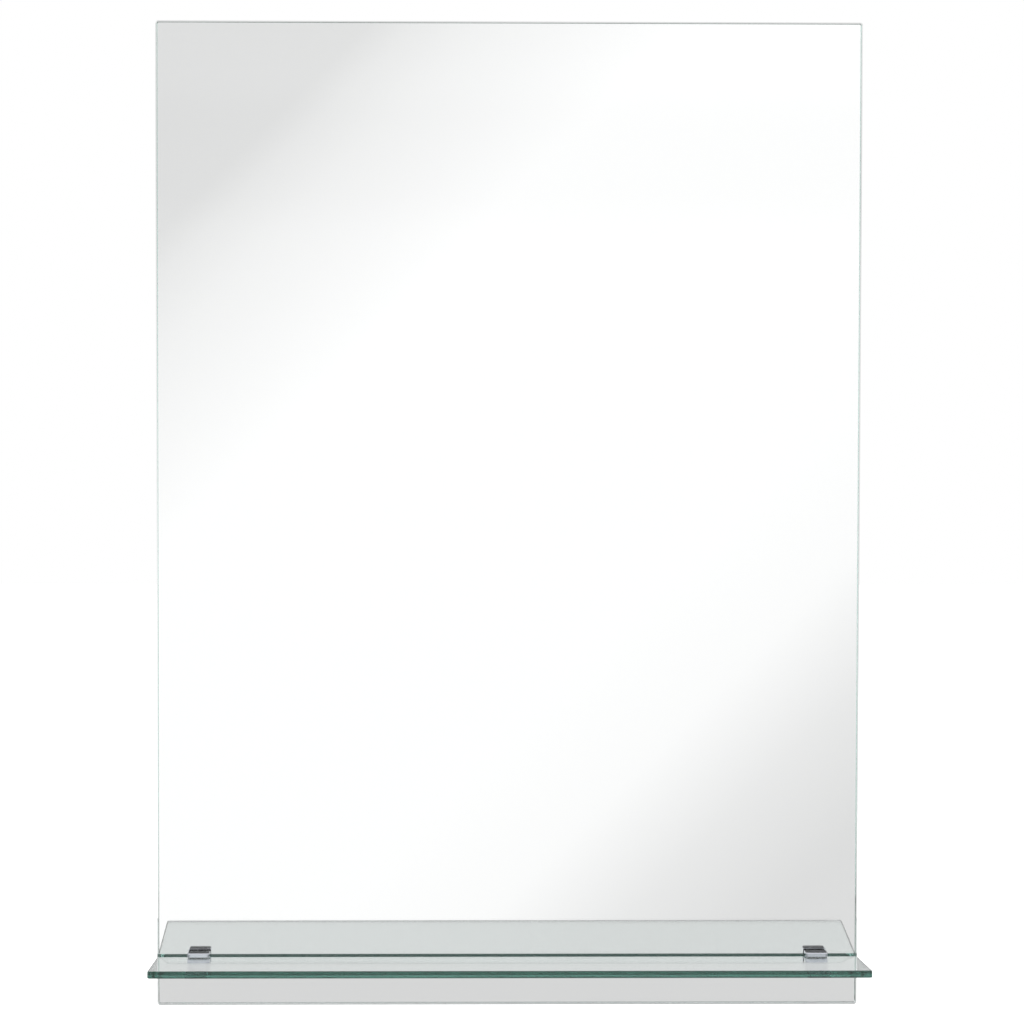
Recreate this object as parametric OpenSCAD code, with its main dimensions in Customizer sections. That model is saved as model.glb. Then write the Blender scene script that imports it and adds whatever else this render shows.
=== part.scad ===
// Frameless wall mirror with a glass shelf held by two small metal clamps.
// X runs to the viewer's right, Y runs from the room into the wall, Z is up.
// The wall is the plane y = 0. The origin lies on it, midway between the two wall screws.

/* [Mirror] */
// Width of the mirror
mirror_w = 500; // [480:10:800]
// Height of the mirror
mirror_h = 700; // [400:10:1000]
// Thickness of the mirror's glass
mirror_t = 5; // [4:1:6]
// Width of the ground arris along the mirror's edges
mirror_arris = 1; // [0.5:0.1:1.4]
// Distance from the wall to the back of the mirror
standoff = 6; // [6:0.5:8]

/* [Shelf] */
// Depth of the shelf, from its rear edge to its front edge
shelf_d = 100; // [60:5:140]
// Thickness of the shelf's glass
shelf_t = 5; // [4:1:6]
// Width of the ground arris along the shelf's edges
shelf_arris = 0.5; // [0.3:0.1:0.8]
// Radius of the shelf's corners, seen from above
shelf_corner_r = 2; // [1:0.5:8]
// Angle by which the shelf rises towards its front, in degrees
shelf_tilt = 4.4; // [0:0.2:5]
// Height of the shelf's rear top edge above the mirror's bottom edge
shelf_rise = 35; // [30:1:80]

/* [Clamps] */
// Distance from the middle of one clamp to the middle of the other
clamp_spacing = 440; // [300:10:440]
// Width of a clamp
clamp_w = 16; // [15:1:20]
// Length of the jaws in front of the shelf's rear edge
jaw_reach = 10; // [10:0.5:14]
// Thickness of the upper jaw at its front
upper_jaw_t = 2.9; // [2:0.1:4]
// Thickness of the lower jaw, which holds both screws
lower_jaw_t = 7.4; // [7:0.2:9]
// Thickness of the metal between the mirror and the shelf's rear edge
heel_t = 1.6; // [1.2:0.1:2.5]

/* [Hangers] */
// Distance from one wall screw to the other
hanger_spacing = 300; // [200:10:360]
// Distance from the mirror's top edge down to the wall screws' entry holes
hanger_drop = 60; // [50:5:120]
// Side of a hanger's square plate
hanger_plate = 70; // [60:2:80]
// Radius of a keyhole's entry hole
keyhole_entry_r = 5; // [4.5:0.25:6]
// Half the width of a keyhole's slot
keyhole_slot_r = 2.3; // [2:0.1:2.5]

/* [Hidden] */
$fn = 64;
eps = 0.01;

// Glass and what lies against it stay this far apart, so that their faces don't coincide
glass_gap = 0.02;

// Layers behind the mirror's glass
silver_t = 0.1;
film_t = 0.3;
layers_t = mirror_t + glass_gap + silver_t + film_t;
face_y = -(standoff + layers_t); // the mirror's front face
bottom_z = hanger_drop - mirror_h; // the mirror's bottom edge
mirror_corner_r = 2;

// Soft layers in a clamp
gasket_t = 0.4;
liner_t = 0.5;
lower_gap = 0.6; // from the shelf's underside to the lower jaw
slot_y = liner_t + glass_gap; // from the shelf's rear edge, or its top, to the slot's wall
shelf_gap = gasket_t + heel_t + slot_y; // from the mirror to the shelf's rear edge
shelf_z = bottom_z + shelf_rise;        // the shelf's rear top edge

// Clamp body
clamp_corner_r = 2.5; // front corners, seen from above
clamp_edge_r = 0.8;   // top and bottom edges
clamp_top = slot_y + upper_jaw_t + jaw_reach * sin(shelf_tilt);
lower_jaw_top = -shelf_t - lower_gap;
clamp_bottom = lower_jaw_top - lower_jaw_t;
soft_inset = 0.6; // how far the liner and the gasket stay inside the clamp's outline

// Set screw and the pad that it presses against the shelf
set_screw_r = 2;
set_screw_l = 6;
set_screw_clearance = 0.05;
set_screw_y = -5.8; // from the shelf's rear edge
set_screw_chamfer = 0.4;
socket_r = 1.15; // corner radius of the hexagon
socket_depth = 2.5;
pad_r = 3;
pad_t = 1.6;
pad_clearance = 0.06;
pad_travel = 1.4; // two turns of the set screw
pad_bottom = -shelf_t - glass_gap - pad_t;

// Screw that holds a clamp to the mirror, from behind
fixing_r = 2;
fixing_z = clamp_bottom + 3.2;
fixing_depth = 4.6; // in the clamp
fixing_clearance = 0.02;
fixing_head_r = 3.8;
fixing_head_t = 2.4;
fixing_round_r = 1;
cross_w = 1;
cross_l = 4.2;
cross_depth = 1.3;
glass_hole_r = 4;
sleeve_wall_gap = 0.1;
shank_gap = 0.15;
flange_r = 6.5;
flange_t = 0.8;
washer_r = 5;
washer_t = 0.8;

// Hanger plates
sheet_t = 1;
tape_t = 1;
tape_inset = 2;
plate_corner_r = 5;
hat_top_r = 16;
hat_base_r = 20;
hat_rim = 2;
hat_h = standoff - tape_t - sheet_t; // how far the middle stands out of the plate
hat_z = 4;                           // the hat's middle above the entry hole
keyhole_l = 9;                       // from the entry hole to the slot's end
peg_hole_r = 2;

// Bumpers
bumper_r = 8;
bumper_chamfer = 0.8;
bumper_x = mirror_w / 2 - 50;
bumper_z = bottom_z + 70;

// ---------- Shared shapes ----------

// Stands a flat drawing upright: its back is at y = back, and it is t thick towards the viewer
module upright(back, t)
    translate([0, back, 0]) rotate([90, 0, 0]) linear_extrude(t) children();

// Rectangle with round corners, centred
module rounded_rectangle(w, h, r) {
    square([w - 2 * r, h], center = true);
    square([w, h - 2 * r], center = true);
    for (x = [-1, 1], y = [-1, 1])
        translate([x * (w / 2 - r), y * (h / 2 - r)]) circle(r);
}

// Section of a plate of thickness t, from a mid line to an edge at reach, with both arrises
function plate_section(reach, t, arris) = [
    [-reach, arris], [arris - reach, 0], [reach - arris, 0], [reach, arris],
    [reach, t - arris], [reach - arris, t], [arris - reach, t], [-reach, t - arris]
];

// Glass plate lying on z = 0, centred, with round corners and a ground arris all round
module glass_plate(w, h, t, r, arris) {
    rotate([90, 0, 0]) translate([0, 0, r - h / 2])
        linear_extrude(h - 2 * r) polygon(plate_section(w / 2, t, arris));
    rotate([90, 0, 90]) translate([0, 0, r - w / 2])
        linear_extrude(w - 2 * r) polygon(plate_section(h / 2, t, arris));
    for (x = [-1, 1], y = [-1, 1])
        translate([x * (w / 2 - r), y * (h / 2 - r), 0])
            rotate_extrude()
                polygon([[0, 0], [r - arris, 0], [r, arris], [r, t - arris], [r - arris, t], [0, t]]);
}

// Puts children in a clamp's place: y = 0 is the mirror's front face, z = 0 the shelf's rear top edge
module at_clamp(side)
    translate([side * clamp_spacing / 2, face_y, shelf_z]) children();

// Leans children with the shelf: y = 0 is its rear edge, z = 0 its top, and -y runs to its front
module leaning()
    translate([0, -shelf_gap, 0]) rotate([-shelf_tilt, 0, 0]) children();

// Shape with the mirror's outline, less the arris and the two holes for the clamps' screws
module mirror_back(back, t)
    difference() {
        upright(back, t) translate([0, bottom_z + mirror_h / 2])
            square([mirror_w - 2 * mirror_arris, mirror_h - 2 * mirror_arris], center = true);
        fixing_holes();
    }

// The two drilled holes, through every layer of the mirror
module fixing_holes()
    for (side = [-1, 1])
        at_clamp(side) translate([0, -1, fixing_z])
            rotate([-90, 0, 0]) cylinder(r = glass_hole_r, h = layers_t + 2);

// ---------- Mirror ----------

module mirror_glass()
    color([0.78, 0.88, 0.86, 0.5]) difference() {
        translate([0, face_y + mirror_t, bottom_z + mirror_h / 2]) rotate([90, 0, 0])
            glass_plate(mirror_w, mirror_h, mirror_t, mirror_corner_r, mirror_arris);
        fixing_holes();
    }

module silver_layer()
    color([0.9, 0.91, 0.92]) mirror_back(-standoff - film_t, silver_t);

module backing_film()
    color([0.62, 0.65, 0.66]) mirror_back(-standoff, film_t);

// ---------- Shelf ----------

module shelf_glass()
    color([0.55, 0.75, 0.68, 0.5])
        translate([0, face_y, shelf_z]) leaning() translate([0, -shelf_d / 2, -shelf_t])
            glass_plate(mirror_w, shelf_d, shelf_t, shelf_corner_r, shelf_arris);

// ---------- Clamps ----------

// Block with round front corners seen from above, and round edges at its top and bottom.
// It runs past the mirror's face, where it is cut off.
module clamp_block() {
    front = -shelf_gap - jaw_reach;
    back = clamp_corner_r + 1;
    depth = back - front;
    height = clamp_top - clamp_bottom;
    middle_y = (front + back) / 2;
    middle_z = (clamp_top + clamp_bottom) / 2;
    intersection() {
        translate([0, middle_y, clamp_bottom])
            linear_extrude(height) rounded_rectangle(clamp_w, depth, clamp_corner_r);
        translate([0, back, middle_z]) rotate([90, 0, 0])
            linear_extrude(depth) rounded_rectangle(clamp_w, height, clamp_edge_r);
        translate([-clamp_w / 2, middle_y, middle_z]) rotate([90, 0, 90])
            linear_extrude(clamp_w) rounded_rectangle(depth, height, clamp_edge_r);
    }
}

module clamp_body(side)
    color([0.75, 0.77, 0.8]) at_clamp(side) difference() {
        clamp_block();
        // the mirror and the gasket
        translate([-clamp_w, -gasket_t, -2 * clamp_w]) cube([2 * clamp_w, clamp_w, 4 * clamp_w]);
        leaning() {
            // slot for the shelf
            translate([-clamp_w, -2 * jaw_reach, lower_jaw_top])
                cube([2 * clamp_w, 2 * jaw_reach + slot_y, slot_y - lower_jaw_top]);
            // pocket for the pressure pad, and the set screw's hole
            translate([0, set_screw_y, pad_bottom - pad_travel - 0.1])
                cylinder(r = pad_r + pad_clearance, h = pad_t + pad_travel);
            translate([0, set_screw_y, clamp_bottom - 2])
                cylinder(r = set_screw_r + set_screw_clearance, h = lower_jaw_t);
        }
        // hole for the fixing screw
        translate([0, 0, fixing_z]) rotate([90, 0, 0])
            cylinder(r = fixing_r + fixing_clearance, h = gasket_t + fixing_depth);
    }

// Clear strip that keeps the metal off the shelf's top and rear edge
module slot_liner(side) {
    w = clamp_w - 2 * soft_inset;
    color([0.86, 0.88, 0.88]) at_clamp(side) leaning() {
        translate([-w / 2, soft_inset - jaw_reach, glass_gap])
            cube([w, jaw_reach - soft_inset + slot_y, liner_t]);
        translate([-w / 2, glass_gap, -shelf_t]) cube([w, liner_t, shelf_t + liner_t]);
    }
}

module pressure_pad(side)
    color([0.9, 0.9, 0.87]) at_clamp(side) leaning()
        translate([0, set_screw_y, pad_bottom]) cylinder(r = pad_r, h = pad_t);

module set_screw(side)
    color([0.3, 0.31, 0.33]) at_clamp(side) leaning()
        translate([0, set_screw_y, pad_bottom - set_screw_l]) difference() {
            union() {
                cylinder(r = set_screw_r, h = set_screw_l - set_screw_chamfer);
                translate([0, 0, set_screw_l - set_screw_chamfer])
                    cylinder(r1 = set_screw_r, r2 = set_screw_r - set_screw_chamfer,
                             h = set_screw_chamfer);
            }
            translate([0, 0, -1]) cylinder(r = socket_r, h = socket_depth + 1, $fn = 6);
        }

// Thin soft plate between a clamp and the mirror
module clamp_gasket(side) {
    w = clamp_w - 2 * soft_inset;
    low = clamp_bottom + soft_inset;
    high = clamp_top - soft_inset;
    color([0.85, 0.87, 0.87]) at_clamp(side) difference() {
        upright(-glass_gap, gasket_t - glass_gap) translate([0, (low + high) / 2])
            rounded_rectangle(w, high - low, clamp_edge_r);
        translate([0, 1, fixing_z]) rotate([90, 0, 0])
            cylinder(r = fixing_r + shank_gap, h = gasket_t + 2);
    }
}

// ---------- Behind the mirror ----------

// Axis of a fixing screw, with children turned so that +z runs into the wall
module at_fixing(side)
    at_clamp(side) translate([0, 0, fixing_z]) rotate([-90, 0, 0]) children();

// Flanged plastic sleeve that keeps the screw off the glass
module hole_sleeve(side)
    color([0.92, 0.92, 0.9]) at_fixing(side) difference() {
        union() {
            cylinder(r = glass_hole_r - sleeve_wall_gap, h = layers_t + flange_t);
            translate([0, 0, layers_t]) cylinder(r = flange_r, h = flange_t);
        }
        translate([0, 0, -1]) cylinder(r = fixing_r + shank_gap, h = layers_t + flange_t + 2);
    }

module washer(side)
    color([0.72, 0.73, 0.74]) at_fixing(side) translate([0, 0, layers_t + flange_t])
        difference() {
            cylinder(r = washer_r, h = washer_t);
            translate([0, 0, -1]) cylinder(r = fixing_r + shank_gap, h = washer_t + 2);
        }

// Pan-head screw with a cross recess
module fixing_screw(side) {
    under_head = layers_t + flange_t + washer_t;
    tip = gasket_t + fixing_depth - 0.2;
    flat_r = fixing_head_r - fixing_round_r;
    color([0.7, 0.71, 0.73]) at_fixing(side) difference() {
        union() {
            translate([0, 0, -tip]) cylinder(r = fixing_r, h = tip + under_head + eps);
            translate([0, 0, under_head]) rotate_extrude() {
                square([flat_r, fixing_head_t]);
                square([fixing_head_r, fixing_head_t - fixing_round_r]);
                translate([flat_r, fixing_head_t - fixing_round_r])
                    intersection() {
                        circle(fixing_round_r);
                        square(fixing_round_r);
                    }
            }
        }
        for (turn = [0, 90])
            rotate(turn) translate([-cross_l / 2, -cross_w / 2, under_head + fixing_head_t - cross_depth])
                cube([cross_l, cross_w, cross_depth + 1]);
    }
}

// Entry hole with a slot above it, drawn upright
module keyhole() {
    circle(keyhole_entry_r);
    translate([-keyhole_slot_r, 0]) square([2 * keyhole_slot_r, keyhole_l]);
    translate([0, keyhole_l]) circle(keyhole_slot_r);
}

// Steel plate with a raised round middle, whose keyhole hangs on a wall screw
module hanger_plate(side) {
    plate_y = tape_t - standoff; // the side that the tape holds
    color([0.74, 0.75, 0.77]) translate([side * hanger_spacing / 2, 0, 0]) difference() {
        union() {
            difference() {
                upright(plate_y + sheet_t, sheet_t) translate([0, hat_z])
                    rounded_rectangle(hanger_plate, hanger_plate, plate_corner_r);
                translate([0, plate_y - 1, hat_z]) rotate([-90, 0, 0])
                    cylinder(r = hat_base_r + hat_rim / 2, h = sheet_t + 2);
            }
            translate([0, plate_y, hat_z]) rotate([-90, 0, 0]) rotate_extrude() polygon([
                [0, hat_h], [hat_top_r, hat_h], [hat_base_r, 0], [hat_base_r + hat_rim, 0],
                [hat_base_r + hat_rim, sheet_t], [hat_base_r + sheet_t / 2, sheet_t],
                [hat_top_r + sheet_t / 2, hat_h + sheet_t], [0, hat_h + sheet_t]
            ]);
        }
        upright(1, sheet_t + 2) keyhole();
        // four small holes through which the tape can be pinned
        for (x = [-1, 1], z = [-1, 1])
            translate([x * (hanger_plate / 2 - 7), plate_y - 1, hat_z + z * (hanger_plate / 2 - 7)])
                rotate([-90, 0, 0]) cylinder(r = peg_hole_r, h = sheet_t + 2);
    }
}

// Foam tape with a round opening under the hanger's raised middle
module hanger_tape(side)
    color([0.93, 0.93, 0.9]) translate([side * hanger_spacing / 2, 0, 0])
        upright(tape_t - standoff, tape_t) translate([0, hat_z]) difference() {
            rounded_rectangle(hanger_plate - 2 * tape_inset, hanger_plate - 2 * tape_inset,
                              plate_corner_r - tape_inset);
            circle(hat_base_r + hat_rim / 2);
        }

// Soft foot that keeps the mirror's lower half parallel to the wall
module bumper(side)
    color([0.85, 0.86, 0.86]) translate([side * bumper_x, -standoff, bumper_z])
        rotate([-90, 0, 0]) rotate_extrude() polygon([
            [0, 0], [bumper_r, 0], [bumper_r, standoff - bumper_chamfer],
            [bumper_r - bumper_chamfer, standoff], [0, standoff]
        ]);

mirror_glass();
silver_layer();
backing_film();
shelf_glass();
clamp_body(-1);  // left_clamp_body
clamp_body(1);  // right_clamp_body
slot_liner(-1);  // left_slot_liner
slot_liner(1);  // right_slot_liner
pressure_pad(-1);  // left_pressure_pad
pressure_pad(1);  // right_pressure_pad
set_screw(-1);  // left_set_screw
set_screw(1);  // right_set_screw
clamp_gasket(-1);  // left_clamp_gasket
clamp_gasket(1);  // right_clamp_gasket
hole_sleeve(-1);  // left_hole_sleeve
hole_sleeve(1);  // right_hole_sleeve
washer(-1);  // left_washer
washer(1);  // right_washer
fixing_screw(-1);  // left_fixing_screw
fixing_screw(1);  // right_fixing_screw
hanger_plate(-1);  // left_hanger_plate
hanger_plate(1);  // right_hanger_plate
hanger_tape(-1);  // left_hanger_tape
hanger_tape(1);  // right_hanger_tape
bumper(-1);  // left_bumper
bumper(1);  // right_bumper
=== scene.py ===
"""Looks of a frameless wall mirror with a glass shelf on two chromed clamps.

Everything is in metres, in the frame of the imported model: +X to the viewer's right, +Y from the room into
the wall and +Z up. The wall is the plane y = 0, and the origin lies midway between the two wall screws.
"""
import math

import bmesh
import bpy
from mathutils import Matrix, Vector


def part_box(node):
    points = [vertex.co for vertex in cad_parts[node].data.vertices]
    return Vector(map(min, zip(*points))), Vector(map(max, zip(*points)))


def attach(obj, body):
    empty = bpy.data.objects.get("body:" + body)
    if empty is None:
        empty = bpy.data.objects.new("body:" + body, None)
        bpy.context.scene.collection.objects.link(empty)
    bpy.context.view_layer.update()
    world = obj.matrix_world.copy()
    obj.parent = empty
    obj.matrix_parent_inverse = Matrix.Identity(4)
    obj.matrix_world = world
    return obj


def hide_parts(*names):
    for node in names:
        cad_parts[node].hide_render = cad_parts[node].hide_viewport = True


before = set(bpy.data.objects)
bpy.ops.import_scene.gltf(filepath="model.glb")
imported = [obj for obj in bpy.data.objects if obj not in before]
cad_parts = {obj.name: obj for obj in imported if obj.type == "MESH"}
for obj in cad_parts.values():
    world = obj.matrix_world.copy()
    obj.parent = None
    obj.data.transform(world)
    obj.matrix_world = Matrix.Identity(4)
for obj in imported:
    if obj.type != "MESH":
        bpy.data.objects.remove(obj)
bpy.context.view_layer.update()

MM = 0.001
SIDES = {"left": -1, "right": 1}

# The mirror and the shelf, read off the frame
MIRROR_LOW, MIRROR_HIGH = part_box("mirror_glass")
SHELF_LOW, SHELF_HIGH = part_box("shelf_glass")
FACE_Y = MIRROR_LOW.y
ARRIS = 1.0 * MM
SHELF_ARRIS = 0.5 * MM
SHELF_D = 100 * MM
SHELF_TILT = math.radians(4.4)


# ---------- Camera ----------

# Where the photograph was taken from, relative to the middle of the mirror's bottom edge
CAMERA_PLACE = Vector((-54, -2852, 539)) * MM
CAMERA_YAW = -1.13
CAMERA_PITCH = -2.85
CAMERA_ROLL = -0.13
PICTURE_PX = 1024
FOCAL_PX = 4023
MIDDLE_ROW_PX = 450  # the row of the picture that the lens axis meets
SENSOR_W = 36


def make_camera():
    data = bpy.data.cameras.new("photo_camera")
    data.sensor_width = SENSOR_W
    data.lens = FOCAL_PX * SENSOR_W / PICTURE_PX
    data.shift_y = (MIDDLE_ROW_PX - PICTURE_PX / 2) / PICTURE_PX
    data.clip_start = 0.05
    data.clip_end = 60
    camera = bpy.data.objects.new("photo_camera", data)
    bpy.context.scene.collection.objects.link(camera)
    turn = (
        Matrix.Rotation(math.radians(CAMERA_YAW), 4, "Z")
        @ Matrix.Rotation(math.radians(CAMERA_PITCH), 4, "X")
        @ Matrix.Rotation(math.radians(CAMERA_ROLL), 4, "Y")
        @ Matrix.Rotation(math.radians(90), 4, "X")
    )
    foot = Vector((0, FACE_Y, MIRROR_LOW.z))
    camera.matrix_world = Matrix.Translation(foot + CAMERA_PLACE) @ turn
    bpy.context.scene.camera = camera


# ---------- Node helpers ----------


def add_node(tree, kind, links=None, **values):
    """Adds a shader node, sets its sockets by name and links other nodes' outputs to it."""
    node = tree.nodes.new(kind)
    for name, value in values.items():
        key = name.replace("_", " ")
        if key in node.inputs:
            node.inputs[key].default_value = value
        else:
            setattr(node, name, value)
    for name, output in (links or {}).items():
        tree.links.new(output, node.inputs[name])
    return node


def math_node(tree, operation, a, b=0.0):
    """One step of arithmetic on numbers or sockets."""
    node = tree.nodes.new("ShaderNodeMath")
    node.operation = operation
    for socket, value in zip(node.inputs, (a, b)):
        if isinstance(value, (int, float)):
            socket.default_value = value
        else:
            tree.links.new(value, socket)
    return node.outputs[0]


def above(tree, value, limit):
    """1 where the value is over the limit."""
    return math_node(tree, "GREATER_THAN", value, limit)


def below(tree, value, limit):
    """1 where the value is under the limit."""
    return math_node(tree, "LESS_THAN", value, limit)


def both(tree, first, *others):
    """1 where every one of the tests is 1."""
    result = first
    for other in others:
        result = math_node(tree, "MULTIPLY", result, other)
    return result


def ramp_node(tree, factor, stops):
    """Colour ramp through stops, a list of (position, colour)."""
    node = tree.nodes.new("ShaderNodeValToRGB")
    ramp = node.color_ramp
    while len(ramp.elements) < len(stops):
        ramp.elements.new(0.5)
    for element, (position, colour) in zip(ramp.elements, stops):
        element.position = position
        element.color = (*colour, 1)
    tree.links.new(factor, node.inputs["Fac"])
    return node.outputs["Color"]


def grey(level):
    return (level, level, level)


def solid(level):
    """A grey as a colour socket takes it."""
    return (*grey(level), 1)


def tone_ramp(tree, value, low, high, stops):
    """Grey levels over a range of values; stops is a list of (value, level)."""
    share = add_node(tree, "ShaderNodeMapRange", {"Value": value}, From_Min=low, From_Max=high)
    span = high - low
    return ramp_node(tree, share.outputs[0], [((at - low) / span, grey(level)) for at, level in stops])


def blend_colours(tree, factor, first, second, kind="MIX"):
    """Blend of two colours; each of the three is a value or a socket."""
    node = tree.nodes.new("ShaderNodeMix")
    node.data_type = "RGBA"
    node.blend_type = kind
    sockets = (node.inputs["Factor"], node.inputs[6], node.inputs[7])
    for socket, value in zip(sockets, (factor, first, second)):
        if isinstance(value, bpy.types.NodeSocket):
            tree.links.new(value, socket)
        else:
            socket.default_value = value
    return node.outputs[2]


def blend_shaders(tree, factor, first, second):
    node = tree.nodes.new("ShaderNodeMixShader")
    for socket, value in zip(node.inputs, (factor, first, second)):
        tree.links.new(value, socket)
    return node.outputs[0]


# ---------- World, floor and lamps ----------

WHITE = 1.0
LIGHT_GREY = 0.70    # beside the white panel behind the camera
FLOOR_GREY = 0.68    # the near floor
FAR_FLOOR_GREY = 0.90  # the floor near the horizon
DARK_GREY = 0.10     # unlit stretch above the panel
EDGE_GREY = 0.12     # what the shelf's edges gather from all round
AMBIENT_GREY = 0.55  # what lights the matt surfaces

PANEL_TILT = math.sqrt(0.5)  # the panel's edges run diagonally
FLOOR_LINE = -9.8            # degrees; below it the far floor begins
FLOOR_DROP = 200 * MM        # from the mirror's bottom edge down to the floor
FLOOR_REACH = 1.27           # the mirrored floor ends here, so that the mirror above the shelf stays white
FLOOR_SIDE = 1.6             # half its width
SKIRT_SIDE = 6.0             # half the side of the skirt, which only the camera sees

# A ray's counts are whole numbers, so a limit that lies between two of them tells them apart.
# How often a surface has turned it:
FIRST_TURN = 0.5
SECOND_TURN = 1.5
FOURTH_TURN = 3.5
SIXTH_TURN = 5.5
THIRTEENTH_TURN = 12.5
# How often it has gone into glass or out of it: twice at a pane, and four times at the mirror,
# whose glass it passes there and back:
ONE_PANE = 1.5
MIRROR_PASSED = 3.5
MIRROR_AND_SHELF = 5.5
MIRROR_AND_SHELF_TWICE = 6.5

# Heights over the horizon in degrees, for the shelf's edges
STEEPLY_UP = 60
RISING = 12
NEARLY_LEVEL = 4
LEVEL_BAND = 8
SHELF_VIEW = -8  # what shows through the shelf lies below this


def first_room(tree, parts, height):
    """What the mirror, glass and chrome reflect at first hand, by direction."""
    ahead = math_node(tree, "MAXIMUM", math_node(tree, "MULTIPLY", parts.outputs["Y"], -1.0), 0.05)
    rise = math_node(tree, "SUBTRACT", parts.outputs["Z"], parts.outputs["X"])
    slant = math_node(tree, "MULTIPLY", math_node(tree, "DIVIDE", rise, ahead), PANEL_TILT)
    panel = tone_ramp(tree, slant, -0.5, 0.5, [
        (-0.5, WHITE), (-0.38, 0.97), (-0.3, LIGHT_GREY), (-0.178, LIGHT_GREY), (-0.153, 0.80),
        (-0.128, 0.97), (-0.10, WHITE), (-0.004, WHITE), (0.030, 0.88), (0.0435, 0.80), (0.050, 0.73),
        (0.09, LIGHT_GREY), (0.3, LIGHT_GREY), (0.38, 0.97), (0.5, WHITE),
    ])
    lift = tone_ramp(tree, height, -90, 90, [
        (-90, 0.9), (5, 1.03), (9, 1.03), (14, 0.6), (22, 0.6), (32, 1.0), (48, 1.2), (90, 1.25),
    ])
    lit = blend_colours(tree, 1.0, panel, lift, "MULTIPLY")
    low = add_node(tree, "ShaderNodeMapRange", {"Value": height}, From_Min=FLOOR_LINE,
                   From_Max=FLOOR_LINE - 3)
    far_floor = tone_ramp(tree, height, -90, 0, [
        (-90, FLOOR_GREY), (-21, FLOOR_GREY), (-10, FAR_FLOOR_GREY), (0, FAR_FLOOR_GREY),
    ])
    front = blend_colours(tree, low.outputs[0], lit, far_floor)
    back = tone_ramp(tree, height, -90, 90, [
        (-90, 0.7), (-12, 0.6), (-10, 0.6), (-8, 0.95), (-1.2, 0.95), (0.7, 0.40), (8, 0.40),
        (20, 0.75), (48, 1.1), (90, 1.1),
    ])
    behind = above(tree, parts.outputs["Y"], 0.0)
    return blend_colours(tree, behind, front, back)


def second_room(tree, height):
    """What is reflected at second hand, such as the mirror's picture on the shelf and the clamps."""
    return tone_ramp(tree, height, -20, 44, [
        (-20, FLOOR_GREY), (-15, FLOOR_GREY), (-13, WHITE), (0.2, WHITE), (0.8, 0.75),
        (1.9, 0.75), (2.4, WHITE), (4.5, WHITE), (6, 0.75), (8.3, 0.75),
        (9.2, DARK_GREY), (13, DARK_GREY), (16, 0.75), (30, 0.75), (44, 0.9),
    ])


def from_chamfer(tree, rays):
    """1 for what the shelf's chamfers turn aside, straight up or down."""
    turns, crossed = rays.outputs["Glossy Depth"], rays.outputs["Transmission Depth"]
    few_turns = both(tree, above(tree, turns, SECOND_TURN), below(tree, turns, THIRTEENTH_TURN))
    return both(tree, few_turns, above(tree, crossed, ONE_PANE), below(tree, crossed, MIRROR_PASSED))


def along_shelf(tree, rays, height):
    """1 for what shows at the shelf's edges, past the long way through its glass and the mirror."""
    turns, crossed = rays.outputs["Glossy Depth"], rays.outputs["Transmission Depth"]
    off_level = math_node(tree, "ABSOLUTE", math_node(tree, "SUBTRACT", height, NEARLY_LEVEL))
    once = both(tree, above(tree, turns, FOURTH_TURN), above(tree, crossed, MIRROR_PASSED),
                above(tree, height, RISING))
    twice = both(tree, above(tree, turns, SECOND_TURN), above(tree, crossed, MIRROR_AND_SHELF_TWICE),
                 below(tree, off_level, LEVEL_BAND))
    return math_node(tree, "MAXIMUM", once, twice)


def down_shelf(tree, rays):
    """The same for rays that end on the floor."""
    turns, crossed = rays.outputs["Glossy Depth"], rays.outputs["Transmission Depth"]
    return both(tree, above(tree, turns, SIXTH_TURN), above(tree, crossed, MIRROR_PASSED))


def make_world():
    """White to the camera and straight through glass; reflections see a room that follows the direction."""
    world = bpy.data.worlds.new("room")
    bpy.context.scene.world = world
    world.use_nodes = True
    tree = world.node_tree
    tree.nodes.clear()
    direction = tree.nodes.new("ShaderNodeTexCoord").outputs["Generated"]
    parts = add_node(tree, "ShaderNodeSeparateXYZ", {"Vector": direction})
    height = math_node(tree, "DEGREES", math_node(tree, "ARCSINE", parts.outputs["Z"]))
    rays = tree.nodes.new("ShaderNodeLightPath")
    turns, crossed = rays.outputs["Glossy Depth"], rays.outputs["Transmission Depth"]

    through_shelf = both(tree, above(tree, crossed, MIRROR_AND_SHELF), below(tree, height, SHELF_VIEW))
    first = blend_colours(tree, through_shelf, first_room(tree, parts, height), solid(FLOOR_GREY))
    aside = both(tree, from_chamfer(tree, rays), above(tree, height, STEEPLY_UP))
    dim = math_node(tree, "MAXIMUM", along_shelf(tree, rays, height), aside)
    later = blend_colours(tree, dim, second_room(tree, height), solid(EDGE_GREY))
    room = blend_colours(tree, above(tree, turns, SECOND_TURN), first, later)

    seen = blend_colours(tree, above(tree, turns, FIRST_TURN), solid(WHITE), room)
    tone = blend_colours(tree, rays.outputs["Is Diffuse Ray"], seen, solid(AMBIENT_GREY))
    light = add_node(tree, "ShaderNodeBackground", {"Color": tone}, Strength=1.0)
    output = tree.nodes.new("ShaderNodeOutputWorld")
    tree.links.new(light.outputs[0], output.inputs["Surface"])


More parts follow.
